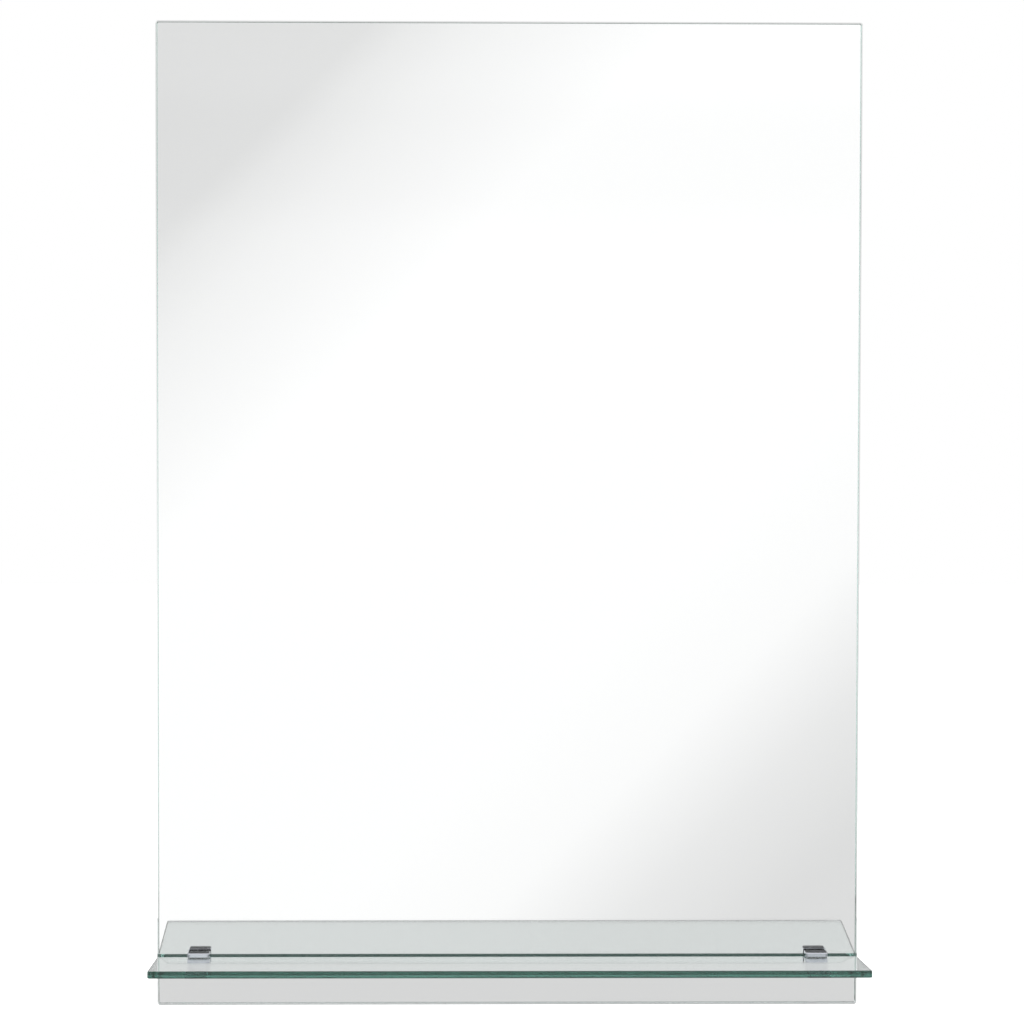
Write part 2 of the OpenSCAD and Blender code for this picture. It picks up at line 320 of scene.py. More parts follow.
def plain_floor(tree, place):
    """What the camera sees: a white floor that takes the object's shadow; returns it and its matt part."""
    flat = add_node(tree, "ShaderNodeVectorMath", {"Vector": place}, operation="MULTIPLY")
    flat.inputs[1].default_value = (1, 1, 0)
    reach = add_node(tree, "ShaderNodeVectorMath", operation="LENGTH")
    tree.links.new(flat.outputs[0], reach.inputs[0])
    glow_level = tone_ramp(tree, reach.outputs["Value"], 0, 3, [
        (0, 0.30), (0.6, 0.34), (1.6, 0.62), (3, 0.8),
    ])
    matte = add_node(tree, "ShaderNodeBsdfDiffuse", Color=solid(0.8))
    glow = add_node(tree, "ShaderNodeEmission", {"Color": glow_level}, Strength=1.0)
    lit = add_node(tree, "ShaderNodeAddShader")
    tree.links.new(matte.outputs[0], lit.inputs[0])
    tree.links.new(glow.outputs[0], lit.inputs[1])
    return lit.outputs[0], matte.outputs[0]


def mirrored_floor(tree, place, rays):
    """What the mirror sees: a grey floor, a little darker close by and lighter far to the sides."""
    parts = add_node(tree, "ShaderNodeSeparateXYZ", {"Vector": place})
    aside = math_node(tree, "ABSOLUTE", parts.outputs["X"])
    ahead = math_node(tree, "MULTIPLY", parts.outputs["Y"], -1.0)
    across = tone_ramp(tree, aside, 0, FLOOR_SIDE, [(0, FLOOR_GREY), (0.8, FLOOR_GREY), (FLOOR_SIDE, 0.80)])
    along = tone_ramp(tree, ahead, 0, 1.2, [(0, 0.84), (0.95, WHITE), (1.2, WHITE)])
    tone = blend_colours(tree, 1.0, across, along, "MULTIPLY")
    dim = math_node(tree, "MAXIMUM", down_shelf(tree, rays), from_chamfer(tree, rays))
    colour = blend_colours(tree, dim, tone, solid(EDGE_GREY))
    return add_node(tree, "ShaderNodeEmission", {"Color": colour}, Strength=1.0).outputs[0]


def floor_material():
    """Pale floor that is different to the camera and to the mirror, and doesn't show from below."""
    material = bpy.data.materials.new("pale_floor")
    material.use_nodes = True
    tree = material.node_tree
    tree.nodes.clear()
    place = tree.nodes.new("ShaderNodeTexCoord").outputs["Object"]
    rays = tree.nodes.new("ShaderNodeLightPath")
    lit, matte = plain_floor(tree, place)
    reflected = above(tree, rays.outputs["Glossy Depth"], FIRST_TURN)
    seen = blend_shaders(tree, reflected, lit, mirrored_floor(tree, place, rays))
    top = blend_shaders(tree, rays.outputs["Is Diffuse Ray"], seen, matte)
    from_below = tree.nodes.new("ShaderNodeNewGeometry").outputs["Backfacing"]
    clear = tree.nodes.new("ShaderNodeBsdfTransparent").outputs[0]
    output = tree.nodes.new("ShaderNodeOutputMaterial")
    tree.links.new(blend_shaders(tree, from_below, top, clear), output.inputs["Surface"])
    return material


def sheet_form(low, high, height):
    """Flat rectangle that faces up."""
    form = bmesh.new()
    bmesh.ops.create_grid(form, x_segments=1, y_segments=1, size=0.5)
    bmesh.ops.scale(form, verts=form.verts, vec=(high[0] - low[0], high[1] - low[1], 1))
    middle = ((low[0] + high[0]) / 2, (low[1] + high[1]) / 2, height)
    bmesh.ops.translate(form, verts=form.verts, vec=middle)
    return form


def make_floor():
    """Floor in front of the mirror, with a wide skirt that only the camera sees."""
    material = floor_material()
    floor_z = MIRROR_LOW.z - FLOOR_DROP
    near = sheet_form((-FLOOR_SIDE, FACE_Y - FLOOR_REACH), (FLOOR_SIDE, FLOOR_SIDE), floor_z)
    skirt = sheet_form((-SKIRT_SIDE, -SKIRT_SIDE), (SKIRT_SIDE, SKIRT_SIDE), floor_z - 1 * MM)
    for name, form, mirrored in (("floor", near, True), ("floor_skirt", skirt, False)):
        mesh = bpy.data.meshes.new(name)
        form.to_mesh(mesh)
        form.free()
        mesh.materials.append(material)
        floor = bpy.data.objects.new(name, mesh)
        floor.visible_glossy = mirrored
        floor.visible_transmission = mirrored
        floor.visible_diffuse = mirrored
        bpy.context.scene.collection.objects.link(floor)


def make_lamp(name, place, size, power):
    """Square soft lamp that faces the middle of the mirror and isn't itself mirrored."""
    data = bpy.data.lights.new(name, "AREA")
    data.size = size
    data.energy = power
    lamp = bpy.data.objects.new(name, data)
    middle = (MIRROR_LOW + MIRROR_HIGH) / 2
    lamp.location = middle + Vector(place)
    lamp.rotation_euler = (middle - lamp.location).to_track_quat("-Z", "Y").to_euler()
    lamp.visible_glossy = False
    lamp.visible_transmission = False
    lamp.visible_camera = False
    bpy.context.scene.collection.objects.link(lamp)


def make_lamps():
    make_lamp("key_lamp", (-1.6, -1.8, 1.9), 1.6, 34)
    make_lamp("fill_lamp", (1.9, -1.4, 1.0), 1.8, 14)
    make_lamp("back_lamp", (0.9, 2.2, 1.6), 1.6, 30)


# ---------- Materials ----------


def new_material(name, roughness=None, metallic=None):
    material = bpy.data.materials.new(name)
    material.use_nodes = True
    tree = material.node_tree
    shader = tree.nodes["Principled BSDF"]
    if roughness is not None:
        shader.inputs["Roughness"].default_value = roughness
    if metallic is not None:
        shader.inputs["Metallic"].default_value = metallic
    return material, tree, shader


def object_place(tree, scale=(1, 1, 1), centre=(0, 0, 0), turn=0.0):
    """Object coordinates, counted from a centre and turned about X, then stretched."""
    place = tree.nodes.new("ShaderNodeTexCoord").outputs["Object"]
    moved = add_node(tree, "ShaderNodeVectorMath", operation="SUBTRACT")
    tree.links.new(place, moved.inputs[0])
    moved.inputs[1].default_value = centre
    rotated = add_node(tree, "ShaderNodeMapping", {"Vector": moved.outputs[0]})
    rotated.inputs["Rotation"].default_value = (turn, 0, 0)
    stretched = add_node(tree, "ShaderNodeMapping", {"Vector": rotated.outputs[0]})
    stretched.inputs["Scale"].default_value = scale
    return stretched.outputs[0]


def noise(tree, place, scale, detail=4.0, roughness=0.55):
    node = add_node(tree, "ShaderNodeTexNoise", {"Vector": place}, Scale=scale, Detail=detail,
                    Roughness=roughness)
    return node.outputs["Fac"]


def cells(tree, place, scale, output="Color"):
    return add_node(tree, "ShaderNodeTexVoronoi", {"Vector": place}, Scale=scale).outputs[output]


def spread(tree, value, low, high, start=0.3, stop=0.7):
    """Value between start and stop, spread over low to high."""
    node = add_node(tree, "ShaderNodeMapRange", {"Value": value}, From_Min=start, From_Max=stop,
                    To_Min=low, To_Max=high)
    return node.outputs[0]


def bump(tree, shader, height, strength, distance):
    """Bump of a surface; its strength is a number or a socket."""
    node = add_node(tree, "ShaderNodeBump", {"Height": height}, Distance=distance)
    if isinstance(strength, (int, float)):
        node.inputs["Strength"].default_value = strength
    else:
        tree.links.new(strength, node.inputs["Strength"])
    tree.links.new(node.outputs[0], shader.inputs["Normal"])


def edge_mask(tree, place, axes, halves, inset):
    """1 within inset of a plate's edges and 0 on its faces."""
    parts = add_node(tree, "ShaderNodeSeparateXYZ", {"Vector": place})
    overs = []
    for axis, half in zip(axes, halves):
        far = math_node(tree, "ABSOLUTE", parts.outputs[axis])
        overs.append(math_node(tree, "SUBTRACT", far, half - inset))
    return math_node(tree, "GREATER_THAN", math_node(tree, "MAXIMUM", *overs), 0.0)


EDGE_MARGIN = 0.05 * MM
GLASS_IOR = 1.52


def glass_material(name, tint, density, centre, turn, axes, halves, arris):
    """Float glass: green along long ways through it, a faint roller wave on its faces, and edges that
    are ground and polished lengthwise."""
    material, tree, shader = new_material(name)
    shader.inputs["Base Color"].default_value = (1, 1, 1, 1)
    shader.inputs["Transmission Weight"].default_value = 1.0
    shader.inputs["IOR"].default_value = GLASS_IOR
    place = object_place(tree, centre=centre, turn=turn)
    edge = edge_mask(tree, place, axes, halves, arris + EDGE_MARGIN)
    polish = spread(tree, noise(tree, place, 400, 3), 0.03, 0.10)
    tree.links.new(math_node(tree, "MULTIPLY", edge, polish), shader.inputs["Roughness"])
    streaks = object_place(tree, scale=(12, 900, 900), centre=centre, turn=turn)
    grinding = math_node(tree, "MULTIPLY", noise(tree, streaks, 1.0, 3), edge)
    wave = math_node(tree, "MULTIPLY", noise(tree, place, 5, 1), 0.4)
    bump(tree, shader, math_node(tree, "ADD", grinding, wave), 0.35, 0.02 * MM)
    absorb = add_node(tree, "ShaderNodeVolumeAbsorption", Color=(*tint, 1), Density=density)
    tree.links.new(absorb.outputs[0], tree.nodes["Material Output"].inputs["Volume"])
    return material


def mirror_glass_material():
    middle = (MIRROR_LOW + MIRROR_HIGH) / 2
    halves = ((MIRROR_HIGH.x - MIRROR_LOW.x) / 2, (MIRROR_HIGH.z - MIRROR_LOW.z) / 2)
    return glass_material("mirror_float_glass", (0.20, 0.60, 0.50), 1.5, middle, 0.0, "XZ", halves,
                          ARRIS)


def shelf_glass_material():
    middle = (SHELF_LOW + SHELF_HIGH) / 2
    halves = ((SHELF_HIGH.x - SHELF_LOW.x) / 2, SHELF_D / 2)
    return glass_material("shelf_float_glass", (0.10, 0.60, 0.50), 12, middle, SHELF_TILT, "XY", halves,
                          SHELF_ARRIS)


def silver_material():
    """Silver coating, a little cloudy in places."""
    material, tree, shader = new_material("silver", roughness=0.0, metallic=1.0)
    cloud = noise(tree, object_place(tree), 6, 2)
    tone = ramp_node(tree, cloud, [(0.3, (0.994, 0.996, 0.995)), (0.7, (0.997, 0.998, 0.998))])
    tree.links.new(tone, shader.inputs["Base Color"])
    return material


def film_material():
    """Grey paint under a safety film with a fine grid of threads."""
    material, tree, shader = new_material("grey_safety_film")
    place = object_place(tree)
    cloud = noise(tree, place, 14, 5, 0.6)
    tone = ramp_node(tree, cloud, [(0.3, (0.335, 0.365, 0.385)), (0.7, (0.385, 0.415, 0.435))])
    threads = []
    for turn in (45, -45):
        laid = add_node(tree, "ShaderNodeMapping", {"Vector": place})
        laid.inputs["Rotation"].default_value = (0, math.radians(turn), 0)
        band = add_node(tree, "ShaderNodeTexWave", {"Vector": laid.outputs[0]}, Scale=52, Distortion=0.0)
        threads.append(spread(tree, band.outputs["Fac"], 0, 1, 0.93, 1.0))
    grid = math_node(tree, "MAXIMUM", *threads)
    toned = blend_colours(tree, math_node(tree, "MULTIPLY", grid, 0.35), tone, (0.47, 0.5, 0.515, 1))
    tree.links.new(toned, shader.inputs["Base Color"])
    tree.links.new(spread(tree, noise(tree, place, 60, 4), 0.36, 0.52), shader.inputs["Roughness"])
    grain = math_node(tree, "MULTIPLY", noise(tree, place, 700, 3), 0.5)
    bump(tree, shader, math_node(tree, "ADD", grid, grain), 0.35, 0.12 * MM)
    return material


def chrome_material():
    """Bright chrome over a cast block, with a faint orange peel and a little haze."""
    material, tree, shader = new_material("bright_chrome", metallic=1.0)
    place = object_place(tree)
    cloud = noise(tree, place, 120, 3)
    tone = ramp_node(tree, cloud, [(0.3, (0.62, 0.645, 0.70)), (0.7, (0.68, 0.70, 0.75))])
    tree.links.new(tone, shader.inputs["Base Color"])
    tree.links.new(spread(tree, noise(tree, place, 450, 4), 0.035, 0.11), shader.inputs["Roughness"])
    bump(tree, shader, noise(tree, place, 320, 2), 0.12, 0.05 * MM)
    return material


def vinyl_material():
    """Clear soft vinyl, slightly hazy."""
    material, tree, shader = new_material("clear_soft_vinyl")
    place = object_place(tree)
    shader.inputs["Base Color"].default_value = (0.90, 0.93, 0.93, 1)
    shader.inputs["Transmission Weight"].default_value = 0.6
    shader.inputs["IOR"].default_value = 1.52
    tree.links.new(spread(tree, noise(tree, place, 300, 3), 0.16, 0.34), shader.inputs["Roughness"])
    bump(tree, shader, noise(tree, place, 500, 2), 0.2, 0.05 * MM)
    return material


def nylon_material():
    """Natural nylon with a fine moulded grain."""
    material, tree, shader = new_material("natural_nylon")
    place = object_place(tree)
    tone = ramp_node(tree, noise(tree, place, 250, 3),
                     [(0.3, (0.80, 0.79, 0.74)), (0.7, (0.86, 0.855, 0.81))])
    tree.links.new(tone, shader.inputs["Base Color"])
    shader.inputs["Subsurface Weight"].default_value = 0.15
    shader.inputs["Subsurface Scale"].default_value = 1.0 * MM
    tree.links.new(spread(tree, noise(tree, place, 600, 3), 0.36, 0.52), shader.inputs["Roughness"])
    bump(tree, shader, noise(tree, place, 1500, 3), 0.25, 0.04 * MM)
    return material


def black_steel_material():
    """Black oxide on steel, worn lighter in spots."""
    material, tree, shader = new_material("black_oxide_steel", metallic=1.0)
    place = object_place(tree)
    tone = ramp_node(tree, noise(tree, place, 900, 4), [
        (0.3, (0.050, 0.050, 0.054)), (0.62, (0.085, 0.085, 0.09)), (0.75, (0.16, 0.16, 0.165)),
    ])
    tree.links.new(tone, shader.inputs["Base Color"])
    tree.links.new(spread(tree, noise(tree, place, 1300, 3), 0.28, 0.46), shader.inputs["Roughness"])
    bump(tree, shader, noise(tree, place, 2500, 3), 0.2, 0.02 * MM)
    return material


def zinc_material():
    """Bright zinc plating: blue-white, with a faint yellow cast in places."""
    material, tree, shader = new_material("bright_zinc", metallic=1.0)
    place = object_place(tree)
    tone = ramp_node(tree, noise(tree, place, 220, 3), [
        (0.3, (0.58, 0.61, 0.66)), (0.55, (0.66, 0.67, 0.69)), (0.72, (0.68, 0.665, 0.61)),
    ])
    tree.links.new(tone, shader.inputs["Base Color"])
    tree.links.new(spread(tree, noise(tree, place, 900, 4), 0.18, 0.36), shader.inputs["Roughness"])
    bump(tree, shader, noise(tree, place, 1800, 3), 0.2, 0.02 * MM)
    return material


def galvanised_material():
    """Pressed galvanised sheet with its spangle."""
    material, tree, shader = new_material("galvanised_sheet", metallic=1.0)
    place = object_place(tree)
    ripple = add_node(tree, "ShaderNodeTexNoise", {"Vector": place}, Scale=90, Detail=3)
    warped = blend_colours(tree, 0.012, place, ripple.outputs["Color"], "ADD")
    flake = add_node(tree, "ShaderNodeSeparateColor", {"Color": cells(tree, warped, 170)})
    fleck = math_node(tree, "ADD", math_node(tree, "MULTIPLY", flake.outputs[0], 0.75),
                      math_node(tree, "MULTIPLY", noise(tree, place, 400, 4), 0.25))
    tone = ramp_node(tree, fleck, [
        (0.1, (0.53, 0.545, 0.56)), (0.5, (0.59, 0.60, 0.61)), (0.9, (0.67, 0.68, 0.69)),
    ])
    tree.links.new(tone, shader.inputs["Base Color"])
    tree.links.new(spread(tree, flake.outputs[1], 0.22, 0.42, 0, 1), shader.inputs["Roughness"])
    relief = math_node(tree, "ADD", noise(tree, place, 1500, 3), flake.outputs[2])
    bump(tree, shader, relief, 0.12, 0.03 * MM)
    return material


def foam_material():
    """White acrylic foam with closed cells."""
    material, tree, shader = new_material("white_foam")
    place = object_place(tree)
    tone = ramp_node(tree, noise(tree, place, 350, 4),
                     [(0.3, (0.80, 0.80, 0.775)), (0.7, (0.87, 0.87, 0.85))])
    tree.links.new(tone, shader.inputs["Base Color"])
    tree.links.new(spread(tree, noise(tree, place, 500, 3), 0.72, 0.9), shader.inputs["Roughness"])
    bump(tree, shader, cells(tree, place, 2600, "Distance"), 0.6, 0.12 * MM)
    return material


def rubber_material():
    """Translucent polyurethane."""
    material, tree, shader = new_material("translucent_polyurethane")
    place = object_place(tree)
    shader.inputs["Base Color"].default_value = (0.86, 0.88, 0.88, 1)
    shader.inputs["Transmission Weight"].default_value = 0.6
    shader.inputs["IOR"].default_value = 1.49
    tree.links.new(spread(tree, noise(tree, place, 250, 3), 0.22, 0.38), shader.inputs["Roughness"])
    bump(tree, shader, noise(tree, place, 700, 3), 0.15, 0.05 * MM)
    return material


# ---------- Mesh helpers ----------

MICRON = 0.001 * MM
MERGE = 0.1 * MICRON


def wrapped(angle):
    return (angle + math.pi) % (2 * math.pi) - math.pi


def filleted(corners, steps=5):
    """Closed outline through corners, a list of (x, y, radius), with each corner rounded."""
    outline = []
    for index, (x, y, radius) in enumerate(corners):
        here = Vector((x, y))
        if radius == 0:
            outline.append(here)
            continue
        before = (Vector(corners[index - 1][:2]) - here).normalized()
        after = (Vector(corners[(index + 1) % len(corners)][:2]) - here).normalized()
        half = before.angle(after) / 2
        middle = here + (before + after).normalized() * (radius / math.sin(half))
        start = here + before * (radius / math.tan(half)) - middle
        end = here + after * (radius / math.tan(half)) - middle
        first = math.atan2(start.y, start.x)
        sweep = wrapped(math.atan2(end.y, end.x) - first)
        for step in range(steps + 1):
            angle = first + sweep * step / steps
            outline.append(middle + Vector((math.cos(angle), math.sin(angle))) * radius)
    return outline


def turned(corners, segments=64, fillet_steps=5):
    """Solid turned about Z from the outline of its half section, in corners of (radius, height, fillet)."""
    outline = filleted(corners, fillet_steps)
    form = bmesh.new()
    points = [form.verts.new((point.x, 0, point.y)) for point in outline]
    for first, second in zip(points, points[1:] + points[:1]):
        if first.co.x > 0 or second.co.x > 0:
            form.edges.new((first, second))
    bmesh.ops.spin(form, geom=form.verts[:] + form.edges[:], cent=(0, 0, 0), axis=(0, 0, 1), dvec=(0, 0, 0),
                   angle=2 * math.pi, steps=segments, use_merge=True)
    bmesh.ops.remove_doubles(form, verts=form.verts, dist=MERGE)
    bmesh.ops.recalc_face_normals(form, faces=form.faces)
    return form


def scratch_object(form):
    mesh = bpy.data.meshes.new("scratch")
    form.to_mesh(mesh)
    form.free()
    item = bpy.data.objects.new("scratch", mesh)
    bpy.context.scene.collection.objects.link(item)
    return item


def carved(form, tools, operation="DIFFERENCE"):
    """Form with every tool cut away, or with what lies outside the tools cut away."""
    item = scratch_object(form)
    cutters = [scratch_object(tool) for tool in tools]
    for cutter in cutters:
        cut = item.modifiers.new("cut", "BOOLEAN")
        cut.operation = operation
        cut.solver = "EXACT"
        cut.object = cutter
    graph = bpy.context.evaluated_depsgraph_get()
    mesh = bpy.data.meshes.new_from_object(item.evaluated_get(graph))
    result = bmesh.new()
    result.from_mesh(mesh)
    bmesh.ops.remove_doubles(result, verts=result.verts, dist=MICRON)
    bpy.data.meshes.remove(mesh)
    for thing in [item] + cutters:
        old = thing.data
        bpy.data.objects.remove(thing)
        bpy.data.meshes.remove(old)
    return result


def cylinder(radius, low, high, segments=48):
    form = bmesh.new()
    bmesh.ops.create_cone(form, cap_ends=True, segments=segments, radius1=radius, radius2=radius,
                          depth=high - low)
    bmesh.ops.translate(form, verts=form.verts, vec=(0, 0, (low + high) / 2))
    return form


def box_form(low, high):
    form = bmesh.new()
    bmesh.ops.create_cube(form, size=1)
    low, high = Vector(low), Vector(high)
    bmesh.ops.scale(form, verts=form.verts, vec=high - low)
    bmesh.ops.translate(form, verts=form.verts, vec=(low + high) / 2)
    return form


def placed(form, matrix):
    bmesh.ops.transform(form, matrix=matrix, verts=form.verts)
    return form


def finished(name, form, body, material, replaced, edge_w=0.0, sharp=35, sheet_t=0.0):
    """Makes a piece of a form that already lies in its place; sheet_t gives an open form its thickness."""
    mesh = bpy.data.meshes.new(name)
    form.to_mesh(mesh)
    form.free()
    mesh.shade_smooth()
    mesh.set_sharp_from_angle(angle=math.radians(sharp))
    mesh.materials.append(material)
    piece = bpy.data.objects.new(name, mesh)
    bpy.context.scene.collection.objects.link(piece)
    if sheet_t:
        sheet = piece.modifiers.new("sheet", "SOLIDIFY")
        sheet.thickness = sheet_t
        sheet.offset = 1
        sheet.use_even_offset = True
    if edge_w:
        rounding = piece.modifiers.new("edges", "BEVEL")
        rounding.width = edge_w
        rounding.segments = 2
        rounding.limit_method = "ANGLE"
        rounding.angle_limit = math.radians(sharp)
    shading = piece.modifiers.new("shading", "WEIGHTED_NORMAL")
    shading.keep_sharp = True
    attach(piece, body)
    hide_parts(*replaced)
    return piece


# ---------- Clamps ----------

CLAMP_X = 220 * MM
SHELF_RISE = 35 * MM   # the shelf's rear top edge above the mirror's bottom edge
SHELF_GAP = 2.52 * MM  # from the mirror to the shelf's rear edge
LINER_SPACE = 0.52 * MM  # behind the shelf and above it, for the clear strip
CLAMP_W = 16 * MM
JAW_REACH = 10 * MM
GASKET_T = 0.4 * MM
LOWER_JAW_TOP = -5.6 * MM
CLAMP_CORNER_R = 2.5 * MM
CLAMP_EDGE_R = 0.8 * MM
SET_SCREW_Y = -5.8 * MM
PAD_R = 3 * MM
PAD_LOW = -6.62 * MM
PAD_TOP = -5.02 * MM
PAD_TRAVEL = 1.4 * MM
SCREW_R = 2 * MM
PITCH = 0.7 * MM
THREAD_DEPTH = 0.56 * PITCH
SET_SCREW_L = 6 * MM
END_CHAMFER = 0.4 * MM
SOCKET_R = 1.15 * MM
SOCKET_DEPTH = 2.5 * MM
BORE_LOW = -16 * MM  # below the clamp
BORE_GAP = 0.06 * MM
POCKET_GAP = 0.1 * MM
CREST_GAP = 0.01 * MM  # keeps the envelope that trims a thread's ends off its crests


def at_clamp(side):
    """From a clamp's own place, where y = 0 is the mirror's face and z = 0 the shelf's rear top edge."""
    return Matrix.Translation((SIDES[side] * CLAMP_X, FACE_Y, MIRROR_LOW.z + SHELF_RISE))


def leaning(side):
    """From the shelf's own place: y = 0 is its rear edge and z = 0 its top."""
    return at_clamp(side) @ Matrix.Translation((0, -SHELF_GAP, 0)) @ Matrix.Rotation(-SHELF_TILT, 4, "X")


def is_upright(edge):
    first, second = edge.verts
    return abs(first.co.z - second.co.z) > abs(first.co.x - second.co.x) + abs(first.co.y - second.co.y)


def make_clamp(side, material):
    """Cast block with round edges and a leaning slot, drilled for its set screw and pocketed for its pad.
    """
    low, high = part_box(f"{side}_clamp_body")
    block = box_form(low, high)
    corners = [edge for edge in block.edges if is_upright(edge) and edge.verts[0].co.y < high.y - 1 * MM]
    bmesh.ops.bevel(block, geom=corners, offset=CLAMP_CORNER_R, offset_type="OFFSET", affect="EDGES",
                    segments=10, profile=0.5, material=-1, clamp_overlap=True)
    rims = [edge for edge in block.edges
            if not is_upright(edge) and min(end.co.y for end in edge.verts) < high.y - 0.1 * MM]
    bmesh.ops.bevel(block, geom=rims, offset=CLAMP_EDGE_R, offset_type="OFFSET", affect="EDGES",
                    segments=5, profile=0.5, material=-1, clamp_overlap=True)
    lean = leaning(side)
    slot = box_form((-CLAMP_W, -2 * JAW_REACH, LOWER_JAW_TOP), (CLAMP_W, LINER_SPACE, LINER_SPACE))
    slot = placed(slot, lean)
    under_pad = lean @ Matrix.Translation((0, SET_SCREW_Y, 0))
    pocket = cylinder(PAD_R + POCKET_GAP, PAD_LOW - PAD_TRAVEL - POCKET_GAP, LOWER_JAW_TOP + 1 * MM)
    pocket = placed(pocket, under_pad)
    bore = placed(cylinder(SCREW_R + BORE_GAP, BORE_LOW, PAD_LOW), under_pad)
    form = carved(block, [slot, pocket, bore])
    finished(f"{side}_clamp", form, "mirror_unit", material, [f"{side}_clamp_body"],
             edge_w=0.18 * MM)


def threaded_rod(radius, length):
    """Rod with a helical thread, from z = 0 up to length."""
    root = radius - THREAD_DEPTH
    steps = 36
    turns = math.ceil(length / PITCH) + 3
    start = -1.5 * PITCH
    form = bmesh.new()
    profile = [(root, -1 / 8), (root, 1 / 8), (radius, 7 / 16), (radius, 9 / 16), (root, 7 / 8)]
    points = [form.verts.new((across, 0, start + share * PITCH)) for across, share in profile]
    for first, second in zip(points, points[1:]):
        form.edges.new((first, second))
    bmesh.ops.spin(form, geom=form.verts[:] + form.edges[:], cent=(0, 0, 0), axis=(0, 0, 1),
                   dvec=(0, 0, PITCH / steps), angle=2 * math.pi * turns, steps=steps * turns,
                   use_merge=False)
    bmesh.ops.remove_doubles(form, verts=form.verts, dist=MICRON)
    for height, side in ((0, -1), (length, 1)):
        bmesh.ops.bisect_plane(form, geom=form.verts[:] + form.edges[:] + form.faces[:],
                               plane_co=(0, 0, height), plane_no=(0, 0, side), clear_outer=True)
        rim = [edge for edge in form.edges if edge.is_boundary
               and all(abs(end.co.z - height) < MICRON for end in edge.verts)]
        bmesh.ops.triangle_fill(form, edges=rim, use_beauty=True)
    bmesh.ops.recalc_face_normals(form, faces=form.faces)
    return form


def make_set_screw(side, material):
    """Socket set screw with chamfered ends and a hexagon socket."""
    rod = placed(threaded_rod(SCREW_R, SET_SCREW_L + 2 * PITCH), Matrix.Translation((0, 0, -PITCH)))
    crest = SCREW_R + CREST_GAP
    envelope = turned([(0, 0, 0), (SCREW_R - END_CHAMFER, 0, 0), (crest, END_CHAMFER, 0),
                       (crest, SET_SCREW_L - END_CHAMFER, 0), (SCREW_R - END_CHAMFER, SET_SCREW_L, 0),
                       (0, SET_SCREW_L, 0)])
    form = carved(rod, [envelope], "INTERSECT")
    socket = cylinder(SOCKET_R, -1 * MM, SOCKET_DEPTH, segments=6)
    lead = bmesh.new()
    bmesh.ops.create_cone(lead, cap_ends=True, segments=32, radius1=1.4 * MM, radius2=0.9 * MM,
                          depth=0.5 * MM)
    form = carved(form, [socket, lead])
    placed(form, leaning(side) @ Matrix.Translation((0, SET_SCREW_Y, PAD_LOW - SET_SCREW_L)))
    finished(f"{side}_socket_screw", form, f"{side}_screw", material, [f"{side}_set_screw"])


def make_pad(side, material):
    """Disc with eased rims."""
    height = PAD_TOP - PAD_LOW
    form = turned([(0, 0, 0), (PAD_R, 0, 0.2 * MM), (PAD_R, height, 0.25 * MM), (0, height, 0)])
    placed(form, leaning(side) @ Matrix.Translation((0, SET_SCREW_Y, PAD_LOW)))
    finished(f"{side}_pad_disc", form, f"{side}_pad", material, [f"{side}_pressure_pad"])


# ---------- Behind the mirror ----------

FIXING_Z = -9.8 * MM
LAYERS_T = 5.42 * MM  # the mirror's glass, silver and film together
FLANGE_R = 6.5 * MM
FLANGE_T = 0.8 * MM
GLASS_HOLE_R = 4 * MM
SHANK_GAP = 0.15 * MM
WASHER_R = 5 * MM
WASHER_T = 0.8 * MM
FIXING_DEPTH = 4.6 * MM
HEAD_R = 3.8 * MM
HEAD_T = 2.4 * MM
CROSS_TURN = 20  # degrees; where the recess came to rest
WALLWARD = Matrix.Rotation(math.radians(-90), 4, "X")  # turns +Z to the wall, and +Y down


def at_fixing(side):
    return at_clamp(side) @ Matrix.Translation((0, 0, FIXING_Z)) @ WALLWARD


def make_sleeve(side, material):
    """Flanged sleeve that keeps the fixing screw off the glass."""
    bore = SCREW_R + SHANK_GAP
    wall = GLASS_HOLE_R - 0.1 * MM
    top = LAYERS_T + FLANGE_T
    form = turned([(bore, 0, 0.1 * MM), (wall, 0, 0.3 * MM), (wall, LAYERS_T, 0.05 * MM),
                   (FLANGE_R, LAYERS_T, 0.1 * MM), (FLANGE_R, top, 0.3 * MM), (bore, top, 0.1 * MM)])
    placed(form, at_fixing(side))
    finished(f"{side}_sleeve", form, "mirror_unit", material, [f"{side}_hole_sleeve"])


def make_washer(side, material):
    """Plain washer under the fixing screw's head."""
    low = LAYERS_T + FLANGE_T
    bore = SCREW_R + SHANK_GAP
    form = turned([(bore, low, 0.1 * MM), (WASHER_R, low, 0.08 * MM), (WASHER_R, low + WASHER_T, 0.28 * MM),
                   (bore, low + WASHER_T, 0.15 * MM)])
    placed(form, at_fixing(side))
    finished(f"{side}_plain_washer", form, "mirror_unit", material, [f"{side}_washer"])


def cross_wing(turn, top):
    """Tapered wing of a cross recess, from the head's top down."""
    half_l, half_w, depth = 2.1 * MM, 0.5 * MM, 1.5 * MM
    form = box_form((-half_l, -half_w, top - depth), (half_l, half_w, top + 1 * MM))
    for point in form.verts:
        if point.co.z < top:
            point.co.x *= 0.42
            point.co.y *= 0.7
    turned_wing = Matrix.Rotation(math.radians(turn), 3, "Z")
    bmesh.ops.rotate(form, verts=form.verts, cent=(0, 0, 0), matrix=turned_wing)
    return form


def screw_shank(tip, under):
    """Threaded shank with a tapered tip, from z = -tip to just below z = under."""
    rod = placed(threaded_rod(SCREW_R, tip + under - 0.3 * MM), Matrix.Translation((0, 0, -tip)))
    crest = SCREW_R + CREST_GAP
    envelope = turned([(0, -tip - 0.4 * MM, 0), (SCREW_R - 0.84 * MM, -tip - 0.4 * MM, 0),
                       (crest, -tip + 0.6 * MM, 0), (crest, under, 0), (0, under, 0)])
    return carved(rod, [envelope], "INTERSECT")


